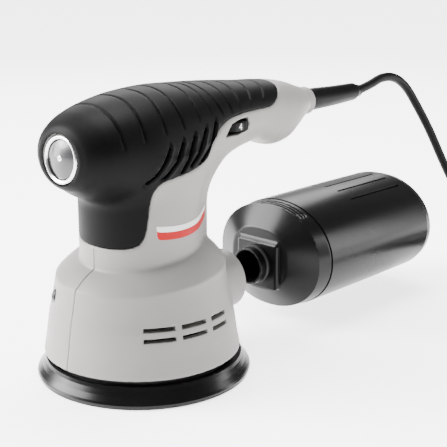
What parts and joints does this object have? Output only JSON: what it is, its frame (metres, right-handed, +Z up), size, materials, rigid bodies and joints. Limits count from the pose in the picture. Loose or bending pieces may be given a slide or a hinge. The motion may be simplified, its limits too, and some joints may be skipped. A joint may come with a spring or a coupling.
{
  "type": "orbital sander",
  "caption": "Random orbit palm sander with a round flared pad, a motor neck, a long rubber-topped handle, a mains cord and a pull-off oval dust box behind the skirt.",
  "frame": {"origin": "on the motor axis at the sanding face of the pad", "axes": "+Z up along the motor axis, +X back along the handle, -Y to the tool's left side"},
  "size_m": [0.4087, 0.211, 0.1665],
  "materials": {
    "housing_plastic": "fine satin moulded plastic",
    "grip_rubber": "matte soft-touch overmould",
    "badge_chrome": "bright bezel",
    "badge_lens": "polished smoked lens",
    "label_vinyl": "printed stripe label",
    "pad_rubber": "glossy moulded backing pad",
    "hook_fabric": "hook and loop face",
    "box_plastic": "semi-gloss ABS",
    "black_plastic": "satin moulded plastic",
    "cable_rubber": "smooth cable jacket",
    "seal_rubber": "soft rubber",
    "steel": "ground steel",
    "laminated_steel": "stacked laminations",
    "copper": "enamelled copper wire",
    "brass": "plain brass",
    "carbon": "pressed carbon",
    "die_cast": "die-cast alloy",
    "board": "coated circuit board",
    "filter_fabric": "pleated filter felt"
  },
  "bodies": {
    "housing": {"left_shell": "housing_plastic", "right_shell": "housing_plastic", "rubber_grip": "grip_rubber", "case_screws": "steel", "badge_ring": "badge_chrome", "badge_lens": "badge_lens", "side_label": "label_vinyl", "pad_brake_ring": "seal_rubber", "dust_shroud": "black_plastic", "motor_plate": "die_cast", "lower_bearing": "steel", "upper_bearing": "steel", "bearing_bracket": "die_cast", "stator_core": "laminated_steel", "field_windings": "copper", "stator_screws": "steel", "brush_holders": "brass", "carbon_brushes": "carbon", "brush_springs": "steel", "speed_controller": "board", "switch_block": "black_plastic", "rocker_pin": "steel", "cord_clamp": "black_plastic", "cord_clamp_screws": "steel", "cord_boot": "cable_rubber", "cord": "cable_rubber", "cord_tail": "cable_rubber", "cord_coil": "cable_rubber", "coil_tie": "seal_rubber", "plug_body": "black_plastic", "plug_pins": "brass"},
    "rotor": {"motor_shaft": "steel", "armature_core": "laminated_steel", "armature_windings": "copper", "commutator": "brass", "fan_counterweight": "die_cast", "pad_bearing": "steel", "bearing_circlip": "steel"},
    "pad": {"backing_pad": "pad_rubber", "hook_sheet": "hook_fabric", "pad_carrier": "die_cast", "pad_screws": "steel"},
    "dial": {"speed_dial": "black_plastic"},
    "rocker": {"power_rocker": "black_plastic"},
    "dust_cap": {"dust_box_cap": "box_plastic", "dust_box_seal": "seal_rubber"},
    "canister": {"dust_box_canister": "box_plastic", "dust_filter": "filter_fabric"}
  },
  "joints": [
    {"name": "motor_spin", "type": "hinge", "parent": "housing", "child": "rotor", "pos_m": [0, 0, 0.1], "axis": [0, 0, 1], "continuous": true},
    {"name": "pad_spin", "type": "hinge", "parent": "rotor", "child": "pad", "pos_m": [0.0012, 0, 0.018], "axis": [0, 0, 1], "continuous": true},
    {"name": "dial_turn", "type": "hinge", "parent": "housing", "child": "dial", "pos_m": [0.052, -0.0168, 0.1403], "axis": [0, 0, 1], "range_deg": [0, 270]},
    {"name": "rocker_tilt", "type": "hinge", "parent": "housing", "child": "rocker", "pos_m": [0.052, 0.0245, 0.14], "axis": [0, 0, 1], "range_deg": [0, 16]},
    {"name": "dust_box_pull", "type": "slide", "parent": "housing", "child": "dust_cap", "axis": [1, 0, 0], "range_m": [-0.0295, 0.02]},
    {"name": "canister_pull", "type": "slide", "parent": "dust_cap", "child": "canister", "axis": [1, 0, 0], "range_m": [0, 0.03]}
  ]
}
